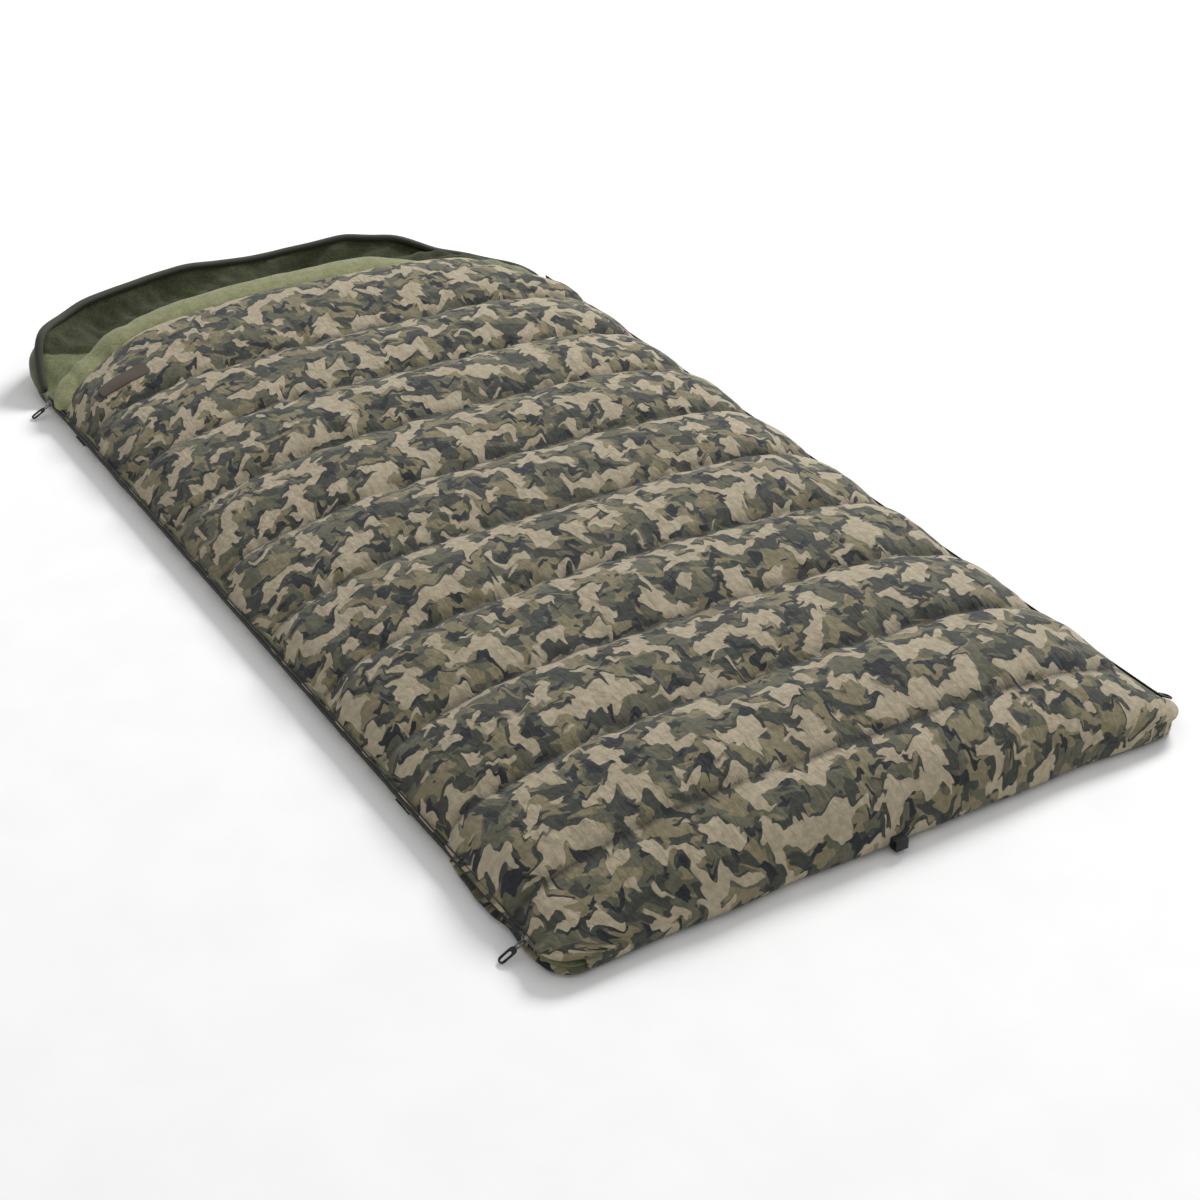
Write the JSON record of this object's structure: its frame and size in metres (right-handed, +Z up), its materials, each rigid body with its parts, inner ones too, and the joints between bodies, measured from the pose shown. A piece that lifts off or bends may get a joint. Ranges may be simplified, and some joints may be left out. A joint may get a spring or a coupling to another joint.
{
  "type": "rectangular sleeping bag",
  "caption": "Wide rectangular padded sleeping bag with a cross-quilted camouflage cover on two side zips, a fleece neck collar and a rounded hood.",
  "frame": {"origin": "on the floor under the middle of the bag's bounding box", "axes": "+Y from the foot towards the hood, +Z up, +X to the sleeper's right hand lying face up"},
  "size_m": [1.1126, 2.1, 0.14],
  "materials": {
    "camo_fabric": "brushed polyester printed in a four-colour woodland pattern, matt",
    "outer_fabric": "dark olive brushed polyester, matt",
    "fleece": "olive green fleece, soft pile",
    "wadding": "white hollow-fibre wadding, inside the covers",
    "webbing": "black woven webbing and binding tape",
    "zip_plastic": "black moulded zip teeth on woven tape",
    "pull_rubber": "black moulded loop",
    "zip_metal": "dark painted die-cast zip metal",
    "patch": "plain woven patch"
  },
  "bodies": {
    "base": {"cover_shell_foot": "camo_fabric", "base_outer_shell": "outer_fabric", "base_fleece_lining": "fleece", "cover_lining_foot": "fleece", "zip_draft_tube_left": "fleece", "zip_draft_tube_right": "fleece", "base_fill": "wadding", "cover_fill_01": "wadding", "cover_fill_02": "wadding", "cover_fill_03": "wadding", "cover_fill_04": "wadding", "cover_fill_05": "wadding", "cover_fill_06": "wadding", "bedchair_strap_foot": "webbing", "bedchair_strap_head": "webbing", "foot_hanging_loop": "webbing", "base_zip_left": "zip_plastic", "cover_zip_foot_left": "zip_plastic", "base_zip_right": "zip_plastic", "cover_zip_foot_right": "zip_plastic", "zip_stop_foot_left": "zip_metal", "zip_stop_foot_right": "zip_metal", "zip_stop_head_left": "zip_metal", "zip_stop_head_right": "zip_metal"},
    "cover": {"cover_shell_head": "camo_fabric", "cover_fill_07": "wadding", "cover_fill_08": "wadding", "cover_fill_09": "wadding", "cover_fill_10": "wadding", "cover_lining_head": "fleece", "neck_collar": "fleece", "maker_patch": "patch", "cover_zip_head_left": "zip_plastic", "cover_zip_head_right": "zip_plastic"},
    "hood": {"hood_shell_floor": "outer_fabric", "hood_shell_rim": "outer_fabric", "hood_fill": "wadding", "hood_rim_fill": "wadding", "hood_fleece_lining": "fleece", "hood_rim_lining": "fleece", "hood_rim_binding": "webbing", "hood_drawcord": "webbing"},
    "slider_head_left": {"slider_head_left": "zip_metal"},
    "pull_head_left": {"pull_tab_head_left": "zip_metal", "pull_loop_head_left": "pull_rubber"},
    "slider_foot_left": {"slider_foot_left": "zip_metal"},
    "pull_foot_left": {"pull_tab_foot_left": "zip_metal", "pull_loop_foot_left": "pull_rubber"},
    "slider_head_right": {"slider_head_right": "zip_metal"},
    "pull_head_right": {"pull_tab_head_right": "zip_metal", "pull_loop_head_right": "pull_rubber"},
    "slider_foot_right": {"slider_foot_right": "zip_metal"},
    "pull_foot_right": {"pull_tab_foot_right": "zip_metal", "pull_loop_foot_right": "pull_rubber"}
  },
  "joints": [
    {"name": "cover_fold", "type": "hinge", "parent": "base", "child": "cover", "pos_m": [0, 0.008, 0.148], "axis": [1, 0, 0], "range_deg": [0, 175]},
    {"name": "hood_lift", "type": "hinge", "parent": "base", "child": "hood", "pos_m": [0, 0.885, 0.06], "axis": [1, 0, 0], "range_deg": [0, 75]},
    {"name": "zip_head_left", "type": "slide", "parent": "base", "child": "slider_head_left", "axis": [0, 1, 0], "range_m": [-0.825, 0]},
    {"name": "pull_swing_head_left", "type": "hinge", "parent": "slider_head_left", "child": "pull_head_left", "pos_m": [-0.5204, 0.745, 0.021], "axis": [0, 1, 0], "range_deg": [0, 95]},
    {"name": "zip_foot_left", "type": "slide", "parent": "base", "child": "slider_foot_left", "axis": [0, 1, 0], "range_m": [0, 0.35]},
    {"name": "pull_swing_foot_left", "type": "hinge", "parent": "slider_foot_left", "child": "pull_foot_left", "pos_m": [-0.5204, -0.965, 0.021], "axis": [0, 1, 0], "range_deg": [0, 95]},
    {"name": "zip_head_right", "type": "slide", "parent": "base", "child": "slider_head_right", "axis": [0, 1, 0], "range_m": [-0.825, 0]},
    {"name": "pull_swing_head_right", "type": "hinge", "parent": "slider_head_right", "child": "pull_head_right", "pos_m": [0.5204, 0.745, 0.021], "axis": [0, -1, 0], "range_deg": [0, 95]},
    {"name": "zip_foot_right", "type": "slide", "parent": "base", "child": "slider_foot_right", "axis": [0, 1, 0], "range_m": [0, 0.35]},
    {"name": "pull_swing_foot_right", "type": "hinge", "parent": "slider_foot_right", "child": "pull_foot_right", "pos_m": [0.5204, -0.965, 0.021], "axis": [0, -1, 0], "range_deg": [0, 95]}
  ],
  "couplings": [
    {"joint": "zip_head_left", "follows": "cover_fold", "m_per_rad": -0.2685},
    {"joint": "zip_head_right", "follows": "cover_fold", "m_per_rad": -0.2685}
  ]
}
